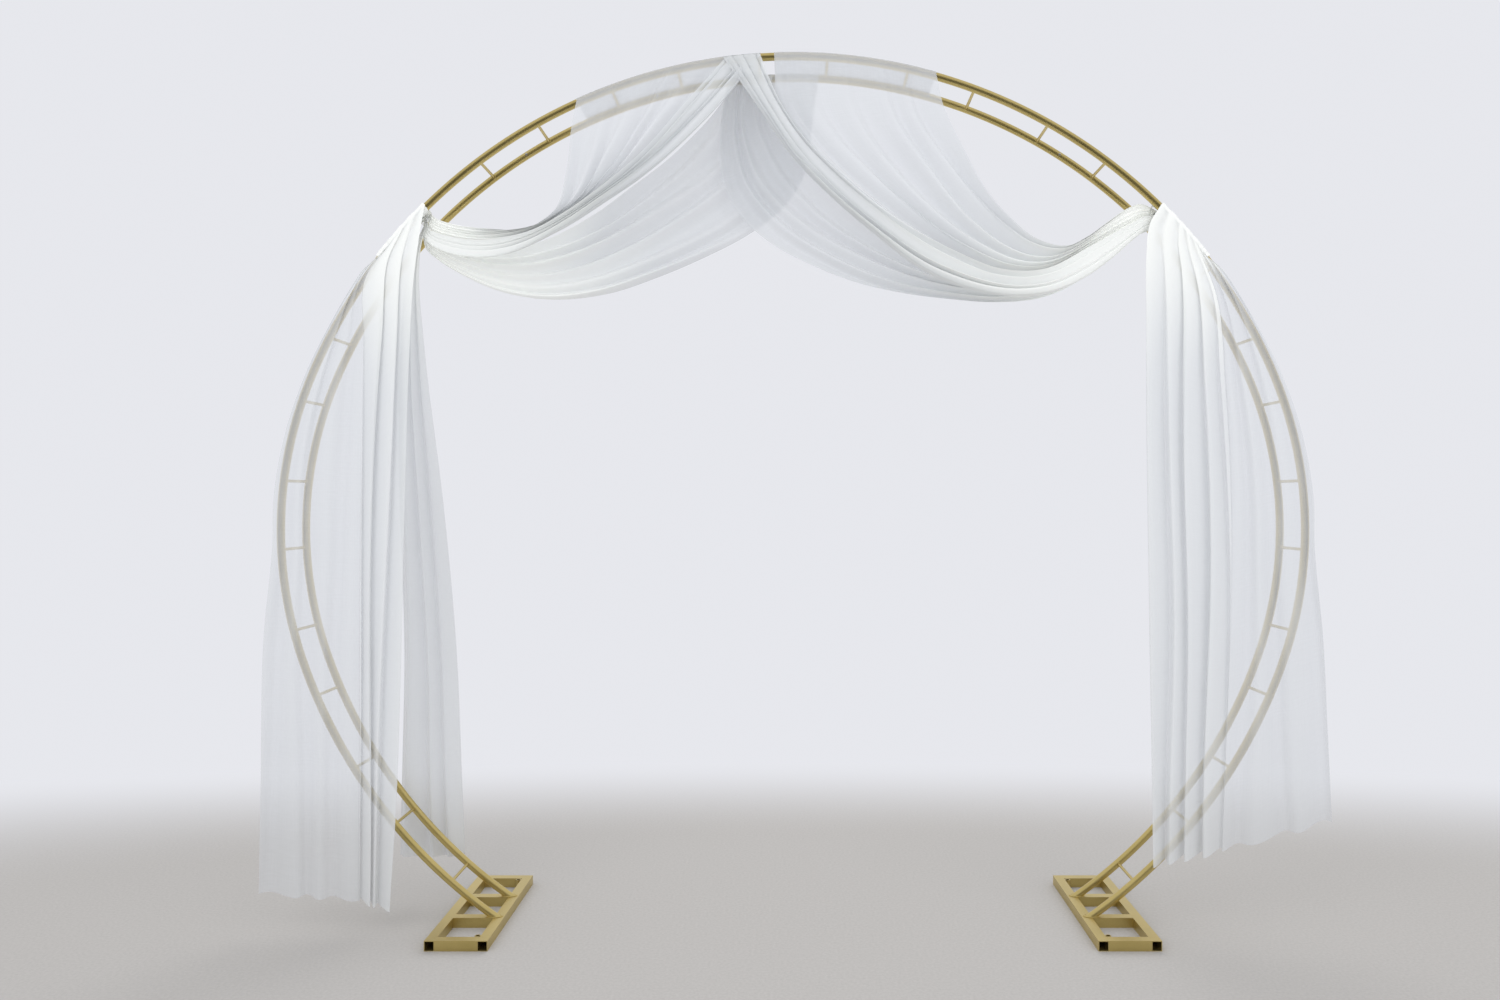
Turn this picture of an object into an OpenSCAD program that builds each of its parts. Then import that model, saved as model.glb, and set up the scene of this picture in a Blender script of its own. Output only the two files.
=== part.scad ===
// Free-standing wedding arch: two equal tube hoops, one behind the other,
// made of plug-in ladder sections and standing on two box-tube bases.
// Two swags hang from the top to a tie at each side and end in side curtains.
// X runs across the arch, Y from front to back and Z up, from the ground.

/* [Hoops] */
// Centreline radius of the ladder sections over the top
top_r = 1165; // [1120:5:1210]
// Centreline radius of the ladder sections at the sides
side_r = 895; // [860:5:930]
// Centreline radius of the lowest ladder sections and the legs
lower_r = 1165; // [1100:5:1230]
// Distance between the centrelines of the front and back hoops
hoop_gap = 126; // [110:1:140]
// Outer diameter of the hoop tube
tube_d = 17; // [15:0.5:20]
// Wall of the hoop tube
tube_wall = 1.2; // [1:0.1:1.6]

/* [Ladder sections] */
// Length of a ladder section from joint to joint, along its centreline
ladder_len = 337; // [325:1:345]
// Length of the legs that are welded to the bases, along their centreline
leg_len = 380; // [350:5:410]
// Diameter of the rungs
rung_d = 6.5; // [5:0.5:8]
// Distance along the tube from a joint to the nearest rung
rung_inset = 77; // [65:1:90]
// Distance along the leg from its first rung to its second
leg_rung_pitch = 180; // [160:5:200]
// Length of the plug that slides into the next tube
plug_len = 32; // [24:1:40]
// Length of the shoulder where a tube narrows to its plug
shoulder_len = 4; // [3:0.5:6]
// Clearance all round the plug
plug_gap = 0.2; // [0.1:0.05:0.3]

/* [Bases] */
// Outer width of the square box tube
box_w = 22; // [20:0.5:25]
// Wall of the box tube
box_wall = 1.5; // [1:0.1:2]
// Length of a base from front to back
base_l = 400; // [370:5:440]
// Width of a base across both rails
base_w = 134; // [120:1:150]
// Distance from the inner face of a base to the toe of the leg
toe_inset = 8; // [4:0.5:10]
// Outer diameter of the stake sleeves in the corners of a base
sleeve_d = 13; // [11:0.5:15]
// Bore of the stake sleeves
sleeve_bore = 9; // [7:0.5:10]
// Height of the stake sleeves
sleeve_h = 17; // [12:0.5:18]
// Gap that the weld bead fills beside a sleeve
weld_gap = 0.2; // [0.1:0.05:0.3]

/* [Drape] */
// Thickness of the gathered cloth
cloth_t = 3; // [2:0.5:4]
// Gap between the cloth and what it lies on
cloth_gap = 0.3; // [0.2:0.05:0.5]
// Width of the tie bands, along the tube
tie_w = 22; // [14:1:30]
// Thickness of the tie bands
tie_t = 6; // [4:0.5:8]
// Depth of the folds in the swags
swag_fold = 12; // [6:1:20]
// Depth of the swell of the swags' front sheets
swag_swell = 24; // [10:2:30]
// Depth of the folds in the curtains
curtain_fold = 26; // [14:1:36]
// Distance along the hoop from the top to the outer edge of the left swag
left_swag_edge = 495; // [460:5:530]
// Distance along the hoop from the top to the inner edge of the left swag's front sheet
left_band_edge = 73; // [60:1:90]
// Distance along the hoop that the left swag's under layer runs past the middle
left_swag_past = 60; // [40:5:80]
// Width of the left swag's under layer along the hoop
left_under_w = 210; // [180:5:240]
// Distance along the hoop from the top to the outer edge of the right swag
right_swag_edge = 322; // [300:5:350]
// Distance along the hoop that the right swag runs past the middle
right_swag_past = 150; // [120:5:180]
// Width of the right swag's under layer along the hoop
right_under_w = 90; // [70:5:110]
// Height of the lowest hem of the left curtain above the ground
left_hem = 46; // [35:1:80]
// How much higher the outer corner of the left hem lies
left_hem_rise = 35; // [20:5:60]
// How far the inner edge of the left curtain leans outwards at its hem
left_lean = 60; // [40:5:80]
// Height of the lowest hem of the right curtain above the ground
right_hem = 155; // [120:5:210]
// How much higher the outer corner of the right hem lies
right_hem_rise = 80; // [60:5:100]
// How far the inner edge of the right curtain leans inwards at its hem
right_lean = 35; // [20:5:50]
// Width of the left back curtain at its hem
back_hem_w = 155; // [130:5:180]
// How much higher the hem of the left back curtain lies than the front one
back_hem_lift = 55; // [30:5:80]
// How far the inner edge of the left back curtain leans inwards at its hem
back_lean = 45; // [30:5:60]
// How far the curtains flare out past the hoop at the hem
curtain_flare = 45; // [20:5:60]

/* [Hidden] */
$fn = 40;
// Steps in a full turn of a bend, so that its chords lie within 0.05 mm of the arc
BEND_FN = 360;
// Ladder sections of each radius on a side, from the top down
TOP_LADDERS = 4;
SIDE_LADDERS = 2;
LOWER_LADDERS = 1;
LADDERS = TOP_LADDERS + SIDE_LADDERS + LOWER_LADDERS;
SIDES = ["left", "right"];
BASE_PARTS = ["leg", "inner_rail", "outer_rail", "front_cross", "second_cross",
    "third_cross", "back_cross", "stake_sleeves", "tie", "swag", "curtain"];
// How far a cut runs past the solid that it opens
CUT = 1;
// Share of the tube wall that the end of a rung sinks into
RUNG_BITE = 0.6;

function turn_of(len, r) = len * 180 / PI / r;
function polar(r, a) = [r * sin(a), r * cos(a)];

// Hoop centreline, from its top at arc length 0 down one side
side_start = TOP_LADDERS * ladder_len;
lower_start = side_start + SIDE_LADDERS * ladder_len;
leg_start = LADDERS * ladder_len;
hoop_len = leg_start + leg_len;
side_a = turn_of(side_start, top_r);
lower_a = side_a + turn_of(lower_start - side_start, side_r);
land_a = lower_a + turn_of(hoop_len - lower_start, lower_r);

// Arc centres, each measured from the one before it
side_from_top = polar(top_r - side_r, side_a);
lower_from_side = polar(side_r - lower_r, lower_a);
land_from_top = side_from_top + lower_from_side + polar(lower_r, land_a);
top_c = [0, box_w - land_from_top[1]];
side_c = top_c + side_from_top;
lower_c = side_c + lower_from_side;
land_x = land_from_top[0];

// Each arc as its start length, start angle, radius and centre
TOP_ARC = [0, 0, top_r, top_c];
SIDE_ARC = [side_start, side_a, side_r, side_c];
LOWER_ARC = [lower_start, lower_a, lower_r, lower_c];

function arc_below(s) = s < side_start ? TOP_ARC : s < lower_start ? SIDE_ARC : LOWER_ARC;
function arc_above(s) = s <= side_start ? TOP_ARC : s <= lower_start ? SIDE_ARC : LOWER_ARC;
function angle_on(arc, s) = arc[1] + turn_of(s - arc[0], arc[2]);
// Point beside the centreline at arc length s, off outwards
function hoop_point(s, off = 0) = let (arc = arc_below(s))
    arc[3] + polar(arc[2] + off, angle_on(arc, s));
// Half width of the hoop at height z, and its full half width below its middle
function hoop_x(z) = z > (top_c + polar(top_r, side_a))[1]
    ? sqrt(pow(top_r, 2) - pow(z - top_c[1], 2))
    : side_c[0] + (z > side_c[1] ? sqrt(pow(side_r, 2) - pow(z - side_c[1], 2)) : side_r);

// Bases
rail_x = land_x - tube_d / 2 / sin(180 - land_a) - toe_inset;
cross_x = rail_x + box_w;
cross_len = base_w - 2 * box_w;
end_y = (base_l - box_w) / 2;
tube_bore = tube_d - 2 * tube_wall;
plug_d = tube_bore - 2 * plug_gap;
plug_bore = plug_d - 2 * tube_wall;
shoulder_bore = (plug_d + plug_bore) / 2;

// Drape
front_y = -hoop_gap / 2 - tube_d / 2 - cloth_gap;
// Each tie lies just above the lower rung of this ladder, which keeps it from sliding down
TIE_LADDER = 3;
tie_s = TIE_LADDER * ladder_len - rung_inset - rung_d / 2 - tie_w / 2 - cloth_gap;
// Gap along the tube between a tie and the cloth beside it
TIE_GAP = 4;
tie_clear = tie_w / 2 + TIE_GAP;
SWAG_ROWS = 12;
SWAG_COLS = 14;
SWAG_FOLDS = 4;
// Edges of the swag sheets as Bezier curves: where the two middle points of each edge lie,
// the first from its start on the hoop and the second from its end at the tie
LEFT_OUTER = [[14, -262], [-259, -149]];
LEFT_BAND = [[29, -127], [-29, -337]];
LEFT_UNDER = [[0, -157], [-81, -297]];
LEFT_BOTTOM = [[-135, -411], [-44, -384]];
RIGHT_OUTER = [[88, -282], [-305, -223]];
RIGHT_BAND = [[199, -332], [-355, -442]];
RIGHT_UNDER = [[23, -360], [-259, -385]];
RIGHT_BOTTOM = [[-236, -507], [-199, -355]];
// The under layers touch the back tube where it curves away, at this share of its radius
// below its centre and before its centre
UNDER_DROP = 0.6;
UNDER_FRONT = 0.8;
// Share of its height over which the back curtain crosses from the front hoop to the back one
BACK_CROSS = 0.6;
// Power by which the back curtain opens out down to its hem
BACK_OPEN = 0.7;
CURTAIN_ROWS = 10;
CURTAIN_COLS = 30;
CURTAIN_FOLDS = 5;
BACK_COLS = 12;
BACK_FOLDS = 2;

// Steel parts

module painted() color([0.72, 0.62, 0.36]) children();

module on_side(side) mirror([side == "left" ? 1 : 0, 0, 0]) children();

// Round bar bent along one arc of the hoop from arc length s0 to s1
module bent_bar(arc, s0, s1, d)
    translate([arc[3][0], 0, arc[3][1]])
        rotate([90, 0, 0])
            rotate([0, 0, 90 - angle_on(arc, s1)])
                rotate_extrude(angle = turn_of(s1 - s0, arc[2]), $fn = BEND_FN)
                    translate([arc[2], 0])
                        circle(d = d);

// Tube of one ladder, whose plug follows the tube above that it slides into
module plug_tube(s0, s1, has_plug) {
    arc = arc_below(s0);
    above = arc_above(s0);
    difference() {
        union() {
            bent_bar(arc, s0, s1, tube_d);
            if (has_plug) bent_bar(above, s0 - plug_len, s0 + shoulder_len / 2, plug_d);
        }
        bent_bar(arc, has_plug ? s0 + shoulder_len : s0 - CUT, s1 + CUT, tube_bore);
        if (has_plug) {
            bent_bar(arc, s0 + shoulder_len / 4, s0 + shoulder_len + CUT, shoulder_bore);
            bent_bar(above, s0 - plug_len - CUT, s0 + shoulder_len / 2, plug_bore);
        }
    }
}

module rung(s) {
    p = hoop_point(s);
    reach = hoop_gap - tube_d + 2 * RUNG_BITE * tube_wall;
    translate([p[0], reach / 2, p[1]])
        rotate([90, 0, 0])
            cylinder(d = rung_d, h = reach);
}

module both_hoops()
    for (y = [-hoop_gap / 2, hoop_gap / 2])
        translate([0, y, 0])
            children();

module ladder(side, i) {
    s0 = (i - 1) * ladder_len;
    s1 = i * ladder_len;
    painted() on_side(side) {
        both_hoops() plug_tube(s0, s1, i > 1 || side == "right");
        rung(s0 + rung_inset);
        rung(s1 - rung_inset);
    }
}

// Leg whose tubes are cut level where they stand on the inner rail
module leg(side) {
    s0 = leg_start;
    run_on = tube_d / tan(180 - land_a);
    painted() on_side(side) {
        difference() {
            both_hoops() plug_tube(s0, hoop_len + run_on, true);
            translate([0, -hoop_gap, box_w - 2 * tube_d])
                cube([2 * land_x, 2 * hoop_gap, 2 * tube_d]);
        }
        rung(s0 + rung_inset);
        rung(s0 + rung_inset + leg_rung_pitch);
    }
}

module box_section() difference() {
    square(box_w);
    translate([box_wall, box_wall])
        square(box_w - 2 * box_wall);
}

module rail(side, x) painted() on_side(side)
    translate([x, base_l / 2, 0])
        rotate([90, 0, 0])
            linear_extrude(base_l)
                box_section();

module cross(side, y) painted() on_side(side)
    translate([cross_x, y - box_w / 2, 0])
        rotate([90, 0, 90])
            linear_extrude(cross_len)
                box_section();

module stake_sleeves(side) painted() on_side(side)
    for (front = [-1, 1])
        translate([cross_x + sleeve_d / 2 + weld_gap,
                front * (end_y - box_w / 2 - sleeve_d / 2 - weld_gap),
                box_w - sleeve_h])
            difference() {
                cylinder(d = sleeve_d, h = sleeve_h);
                translate([0, 0, -CUT])
                    cylinder(d = sleeve_bore, h = sleeve_h + 2 * CUT);
            }

// Cloth parts

module cloth() color([0.95, 0.95, 0.92]) children();

// Band of cloth tied round the front tube
module tie(side)
    cloth() on_side(side)
        translate([0, -hoop_gap / 2, 0])
            difference() {
                bent_bar(TOP_ARC, tie_s - tie_w / 2, tie_s + tie_w / 2,
                    tube_d + 2 * (cloth_gap + tie_t));
                bent_bar(TOP_ARC, tie_s - tie_w, tie_s + tie_w, tube_d + 2 * cloth_gap);
            }

// Closed slab between two grids of points with the same rows and columns
module slab(inner, outer) {
    rows = len(inner);
    cols = len(inner[0]);
    flat = [for (grid = [inner, outer], row = grid, p = row) p];
    half = rows * cols;
    function at(g, i, j) = g * half + i * cols + j;
    faces = concat(
        [for (i = [0:rows - 2], j = [0:cols - 2], k = [0, 1]) k == 0
            ? [at(0, i, j), at(0, i, j + 1), at(0, i + 1, j + 1)]
            : [at(0, i, j), at(0, i + 1, j + 1), at(0, i + 1, j)]],
        [for (i = [0:rows - 2], j = [0:cols - 2], k = [0, 1]) k == 0
            ? [at(1, i, j), at(1, i + 1, j + 1), at(1, i, j + 1)]
            : [at(1, i, j), at(1, i + 1, j), at(1, i + 1, j + 1)]],
        [for (i = [0:rows - 2], k = [0, 1]) k == 0
            ? [at(0, i, 0), at(0, i + 1, 0), at(1, i + 1, 0)]
            : [at(0, i, 0), at(1, i + 1, 0), at(1, i, 0)]],
        [for (i = [0:rows - 2], k = [0, 1]) k == 0
            ? [at(0, i, cols - 1), at(1, i + 1, cols - 1), at(0, i + 1, cols - 1)]
            : [at(0, i, cols - 1), at(1, i, cols - 1), at(1, i + 1, cols - 1)]],
        [for (j = [0:cols - 2], k = [0, 1]) k == 0
            ? [at(0, 0, j), at(1, 0, j + 1), at(0, 0, j + 1)]
            : [at(0, 0, j), at(1, 0, j), at(1, 0, j + 1)]],
        [for (j = [0:cols - 2], k = [0, 1]) k == 0
            ? [at(0, rows - 1, j), at(0, rows - 1, j + 1), at(1, rows - 1, j + 1)]
            : [at(0, rows - 1, j), at(1, rows - 1, j + 1), at(1, rows - 1, j)]]);
    polyhedron(flat, faces);
}

function mix(a, b, t) = a + (b - a) * t;
function bezier(a, b, c, d, t) = a * pow(1 - t, 3) + 3 * b * t * pow(1 - t, 2)
    + 3 * c * pow(t, 2) * (1 - t) + d * pow(t, 3);

// Signed hoop point: a negative length lies past the middle
function hoop_signed(s, off) = let (p = hoop_point(abs(s), off)) [sign(s) * p[0], p[1]];

// Thread of a sheet from the hoop to the tie; v runs from its upper to its lower edge
function swag_thread(v, t, stretch, upper, lower, start_off, end_offs) = let (
        start = hoop_signed(mix(stretch[0], stretch[1], v), start_off),
        end = hoop_point(tie_s - tie_clear, mix(end_offs[0], end_offs[1], v)))
    bezier(start, start + mix(upper[0], lower[0], v), end + mix(upper[1], lower[1], v), end, t);

function swag_folds(v, t) = swag_fold * pow(sin(180 * SWAG_FOLDS * v) * sin(180 * t), 2);

// Front sheet of a swag: over both tubes, round the front one and down to behind the tie
function front_point(v, t, stretch, upper, lower, lift) = let (
        p = swag_thread(v, t, stretch, upper, lower, -tube_d / 2, [-0.6 * tube_d, -2 * tube_d]),
        out = swag_swell * pow(sin(180 * t), 2) + (lift > 0 ? swag_fold * sin(180 * t) : 0),
        y = mix(front_y, 0.4 * tube_d - hoop_gap / 2, t) - lift - out)
    [p[0], y - swag_folds(v, t), p[1]];

function front_grid(stretch, upper, lower, lift, t_off) = concat(
    [for (y = [hoop_gap / 2, front_y - lift - t_off]) [for (j = [0:SWAG_COLS])
        let (p = hoop_signed(mix(stretch[0], stretch[1], j / SWAG_COLS),
                tube_d / 2 + cloth_gap + lift + t_off))
            [p[0], y, p[1]]]],
    [for (i = [0:SWAG_ROWS]) [for (j = [0:SWAG_COLS])
        front_point(j / SWAG_COLS, i / SWAG_ROWS, stretch, upper, lower, lift)
            - [0, t_off, 0]]]);

// Under layer of a swag: level with the front of the back tube until both swags have crossed,
// and then forwards to the tie
function under_point(v, t, stretch, upper, lower, lift) = let (
        p = swag_thread(v, t, stretch, upper, lower, -UNDER_DROP * tube_d / 2,
            [-1.2 * tube_d, -2.7 * tube_d]),
        crossed = right_swag_past + right_swag_past / 3,
        along = max(0, (p[0] - crossed) / (hoop_point(tie_s)[0] - crossed)),
        back = hoop_gap / 2 - UNDER_FRONT * tube_d / 2 - cloth_gap,
        y = mix(back, tube_d - hoop_gap / 2, along) - lift)
    [p[0], y - swag_folds(v, t) * min(1, 4 * along), p[1]];

function under_grid(stretch, upper, lower, lift, t_off) =
    [for (i = [0:SWAG_ROWS]) [for (j = [0:SWAG_COLS])
        under_point(j / SWAG_COLS, i / SWAG_ROWS, stretch, upper, lower, lift)
            - [0, t_off, 0]]];

module swag_sheets(front, outer, band, under, upper, bottom, lift) cloth() {
    slab(front_grid(front, outer, band, lift, 0),
        front_grid(front, outer, band, lift, cloth_t));
    slab(under_grid(under, upper, bottom, lift, 0),
        under_grid(under, upper, bottom, lift, cloth_t));
}

module left_swag() on_side("left")
    swag_sheets([left_swag_edge, left_band_edge], LEFT_OUTER, LEFT_BAND,
        [left_under_w - left_swag_past, -left_swag_past], LEFT_UNDER, LEFT_BOTTOM, 0);

module right_swag()
    swag_sheets([right_swag_edge, -right_swag_past], RIGHT_OUTER, RIGHT_BAND,
        [right_under_w - right_swag_past, -right_swag_past], RIGHT_UNDER, RIGHT_BOTTOM,
        cloth_t + cloth_gap);

// Curtain point: u runs from the inner to the outer edge, w from top to hem
function curtain_point(u, w, in_top, in_hem, out_hem, hem, rise) = let (
        top = hoop_point(tie_s + tie_clear),
        z = mix(top[1], hem + rise * u, w),
        out_top = min(1, 4 * w) * (hoop_x(z) - top[0]) + top[0],
        out = mix(out_top, out_hem, max(0, w - 0.5) * 2),
        x = mix(mix(in_top, in_hem, w), out, u),
        fold = curtain_fold * min(1, 2 * w) * pow(sin(180 * CURTAIN_FOLDS * u), 2))
    [x, -fold, z];

function curtain_grid(in_top, in_hem, out_hem, hem, rise, t_off) =
    [for (i = [0:CURTAIN_ROWS]) [for (j = [0:CURTAIN_COLS])
        curtain_point(j / CURTAIN_COLS, i / CURTAIN_ROWS, in_top, in_hem, out_hem, hem, rise)
            + [0, front_y - t_off, 0]]];

module curtain(side) {
    left = side == "left";
    in_top = hoop_point(tie_s + tie_clear)[0] - tube_d;
    in_hem = in_top + (left ? left_lean : -right_lean);
    wide = side_c[0] + side_r + curtain_flare;
    hem = left ? left_hem : right_hem;
    rise = left ? left_hem_rise : right_hem_rise;
    cloth() on_side(side)
        slab(curtain_grid(in_top, in_hem, wide, hem, rise, 0),
            curtain_grid(in_top, in_hem, wide, hem, rise, cloth_t));
}

// Back curtain point: the top lies on the back of the left tie, the hem behind the back hoop
function back_point(u, w) = let (
        top = hoop_point(tie_s - (1 - u) * tie_w / 2),
        in_hem = hoop_point(tie_s)[0] - back_lean,
        in = mix(top[0], in_hem, w),
        out = mix(top[0], in_hem + back_hem_w, pow(w, BACK_OPEN)),
        tie_back = tube_d / 2 + tie_t + 2 * cloth_gap - hoop_gap / 2,
        fold = curtain_fold * min(1, 2 * w) * pow(sin(180 * BACK_FOLDS * u), 2))
    [mix(in, out, u), mix(tie_back, -front_y, min(1, w / BACK_CROSS)) + fold,
        mix(top[1], left_hem + back_hem_lift, w)];

function back_grid(t_off) =
    [for (i = [0:CURTAIN_ROWS]) [for (j = [0:BACK_COLS])
        back_point(j / BACK_COLS, i / CURTAIN_ROWS) + [0, t_off, 0]]];

// Narrow fall of cloth from the left tie to behind the back hoop
module left_back_curtain() cloth() on_side("left") slab(back_grid(cloth_t), back_grid(0));

for (side = SIDES) {
    for (i = [1:LADDERS])
        ladder(side, i);
    leg(side);
    rail(side, rail_x);
    rail(side, cross_x + cross_len);
    cross(side, -end_y);
    cross(side, -hoop_gap / 2);
    cross(side, hoop_gap / 2);
    cross(side, end_y);
    stake_sleeves(side);
    tie(side);
    curtain(side);
}
left_swag();
right_swag();
left_back_curtain();
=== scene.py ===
"""Looks of the wedding arch: its gold painted steel and its sheer drape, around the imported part.

Lengths are in metres. X runs across the arch, Y from front to back and Z up, from the ground.
Sides are told apart by a sign: -1 is the left side and 1 the right side.
"""

import math

import bpy
import numpy as np
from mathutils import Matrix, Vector


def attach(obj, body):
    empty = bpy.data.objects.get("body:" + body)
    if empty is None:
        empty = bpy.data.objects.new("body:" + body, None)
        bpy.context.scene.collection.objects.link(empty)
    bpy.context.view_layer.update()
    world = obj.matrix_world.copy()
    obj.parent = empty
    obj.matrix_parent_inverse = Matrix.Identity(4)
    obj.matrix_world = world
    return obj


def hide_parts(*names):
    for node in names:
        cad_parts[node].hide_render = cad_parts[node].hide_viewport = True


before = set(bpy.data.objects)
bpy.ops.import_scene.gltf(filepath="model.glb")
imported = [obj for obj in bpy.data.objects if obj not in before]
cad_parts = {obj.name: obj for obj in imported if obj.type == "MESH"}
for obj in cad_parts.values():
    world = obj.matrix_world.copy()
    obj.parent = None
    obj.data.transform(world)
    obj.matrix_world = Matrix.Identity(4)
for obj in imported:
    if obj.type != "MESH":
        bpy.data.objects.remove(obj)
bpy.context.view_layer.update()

# Steel sizes, as in the part
TOP_R, SIDE_R, LOWER_R = 1.165, 0.895, 1.165
LADDER_LEN, LEG_LEN = 0.337, 0.380
TOP_LADDERS, SIDE_LADDERS, LADDERS = 4, 2, 7
HOOP_GAP = 0.126
TUBE_R = 0.0085
RUNG_R = 0.00325
RUNG_INSET = 0.077
LEG_RUNG_PITCH = 0.180
PLUG_LEN = 0.032
BOX_W = 0.022
SIDES = {"left": -1, "right": 1}

# Cloth
CLOTH_GAP = 0.0012
FRONT_Y = -HOOP_GAP / 2 - TUBE_R
BACK_Y = HOOP_GAP / 2 + TUBE_R
TIE_S = 0.9195

# Camera, as it stood for the photograph: level, at eye height for someone seated
EYE = (0.0, -2.483, 0.95)
SENSOR = 36.0
FOCAL_PX, FRAME_PX, AXIS_PX = 1085.0, 1500.0, 793.0

BACKDROP = (0.796, 0.804, 0.845)
FLOOR_TONE = (0.474, 0.457, 0.441)


# Curves and grids


def turn(length, radius):
    """Angle of an arc: its length over its radius."""
    return length / radius


def polar(radius, angle):
    """Point at an angle from +Z towards +X, as an X and Z pair."""
    return np.array([radius * math.sin(angle), radius * math.cos(angle)])


SIDE_START = TOP_LADDERS * LADDER_LEN
LOWER_START = SIDE_START + SIDE_LADDERS * LADDER_LEN
LEG_START = LADDERS * LADDER_LEN
HOOP_LEN = LEG_START + LEG_LEN
SIDE_ANGLE = turn(SIDE_START, TOP_R)
LOWER_ANGLE = SIDE_ANGLE + turn(LOWER_START - SIDE_START, SIDE_R)
LAND_ANGLE = LOWER_ANGLE + turn(HOOP_LEN - LOWER_START, LOWER_R)
SIDE_STEP = polar(TOP_R - SIDE_R, SIDE_ANGLE)
LOWER_STEP = polar(SIDE_R - LOWER_R, LOWER_ANGLE)
TOP_C = np.array([0.0, BOX_W - (SIDE_STEP + LOWER_STEP + polar(LOWER_R, LAND_ANGLE))[1]])
SIDE_C = TOP_C + SIDE_STEP
LOWER_C = SIDE_C + LOWER_STEP
TIE_ANGLE = turn(TIE_S, TOP_R)


def hoop(s, off=0.0):
    """X and Z beside the hoop's centreline at the signed arc length s from its top, off outwards.

    The hoop is three arcs a side. Each turns by its length over its radius from where the one
    above it ended: centre + (radius + off) * (sin angle, cos angle), mirrored where s < 0.
    """
    s = np.asarray(s, float)
    a = np.abs(s)
    on_top, on_side = a < SIDE_START, a < LOWER_START
    angle = np.where(
        on_top,
        a / TOP_R,
        np.where(
            on_side,
            SIDE_ANGLE + (a - SIDE_START) / SIDE_R,
            LOWER_ANGLE + (a - LOWER_START) / LOWER_R,
        ),
    )
    radius = np.where(on_top, TOP_R, np.where(on_side, SIDE_R, LOWER_R)) + off
    cx = np.where(on_top, TOP_C[0], np.where(on_side, SIDE_C[0], LOWER_C[0]))
    cz = np.where(on_top, TOP_C[1], np.where(on_side, SIDE_C[1], LOWER_C[1]))
    x = cx + radius * np.sin(angle)
    return np.where(s < 0, -x, x), cz + radius * np.cos(angle)


def through(points, at):
    """Smooth curve through the points, at the shares `at` of its length from 0 to 1.

    Between two neighbours it is the cubic that has each one's position, and a slope there
    that is the mean of the slopes of the chords on both sides.
    """
    points = np.asarray(points, float)
    flat = points.reshape(len(points), -1)
    step = np.maximum(np.linalg.norm(np.diff(points.reshape(len(points), -1), axis=0), axis=1), 1e-9)
    knots = np.concatenate([[0.0], np.cumsum(step)]) / step.sum()
    chord = np.diff(flat, axis=0) / np.diff(knots)[:, None]
    slope = np.concatenate([chord[:1], (chord[:-1] + chord[1:]) / 2, chord[-1:]])
    k = np.clip(np.searchsorted(knots, at, side="right") - 1, 0, len(points) - 2)
    gap = np.diff(knots)[k][:, None]
    t = ((at - knots[k]) / np.diff(knots)[k])[:, None]
    curve = (
        (2 * t**3 - 3 * t**2 + 1) * flat[k]
        + (t**3 - 2 * t**2 + t) * gap * slope[k]
        + (3 * t**2 - 2 * t**3) * flat[k + 1]
        + (t**3 - t**2) * gap * slope[k + 1]
    )
    return curve.reshape((len(at),) + points.shape[1:])


def ease(a, b, x):
    """Smooth step from 0 at a to 1 at b: t * t * (3 - 2 t) of the clipped share t."""
    t = np.clip((x - a) / (b - a), 0, 1)
    return t * t * (3 - 2 * t)


def pleats(u, turns, lap, depth, phase=0.0, wander=0.0):
    """Where a pleated sheet lies, across and in depth, for the flat shares u of its width.

    The pace across is 1 - lap * cos(a), where a = 2 pi turns u + phase + wander. A lap over 1
    makes the cloth run back under itself once a turn, so that three layers lie over each other.
    The place across is the running sum of the pace, brought back to 0..1, and the depth is
    depth * sin(a). All terms may differ from row to row, so u is a row and the rest columns.
    """
    angle = 2 * math.pi * turns * u + phase + wander
    pace = 1 - lap * np.cos(angle)
    across = np.cumsum(pace, axis=1) - pace[:, :1]
    return across / across[:, -1:], depth * np.sin(angle)


def sheet_mesh(name, grids, material, weave=(0.5, 1.0)):
    """One mesh of several sheets, each a grid of points with a value at each point for its gathering and its painted
    shade.

    Row i and column j of a grid make a vertex, and four neighbours a face. The UV map holds the
    flat place in metres, which is the grid place times the sheet's flat width and length.
    """
    points, faces, flats, gathers_and_shade, start = [], [], [], [], 0
    for grid, gather_and_shade in grids:
        rows, cols = grid.shape[:2]
        index = start + np.arange(rows * cols).reshape(rows, cols)
        quads = np.stack([index[:-1, :-1], index[:-1, 1:], index[1:, 1:], index[1:, :-1]], axis=-1)
        faces.append(quads.reshape(-1, 4))
        points.append(grid.reshape(-1, 3))
        gathers_and_shade.append(np.broadcast_to(gather_and_shade, (rows, cols)).ravel())
        across, along = np.meshgrid(np.linspace(0, weave[0], cols), np.linspace(0, weave[1], rows))
        flats.append(np.stack([across, along], axis=-1).reshape(-1, 2))
        start += rows * cols
    points, faces, flats = np.concatenate(points), np.concatenate(faces), np.concatenate(flats)
    obj = mesh_object(name, points, faces, material)
    layer = obj.data.uv_layers.new(name="flat")
    layer.data.foreach_set("uv", flats[faces.ravel()].astype(np.float32).ravel())
    attribute = obj.data.attributes.new("gather_and_shade", "FLOAT", "POINT")
    attribute.data.foreach_set("value", np.concatenate(gathers_and_shade).astype(np.float32))
    return obj


def mesh_object(name, points, faces, material):
    """Smooth-shaded mesh object of the points and the quads, in the scene and on the one body."""
    mesh = bpy.data.meshes.new(name)
    mesh.from_pydata(points.tolist(), [], faces.tolist())
    mesh.polygons.foreach_set("use_smooth", np.ones(len(faces), bool))
    mesh.materials.append(material)
    mesh.update()
    obj = bpy.data.objects.new(name, mesh)
    bpy.context.scene.collection.objects.link(obj)
    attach(obj, "root")
    return obj


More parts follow.
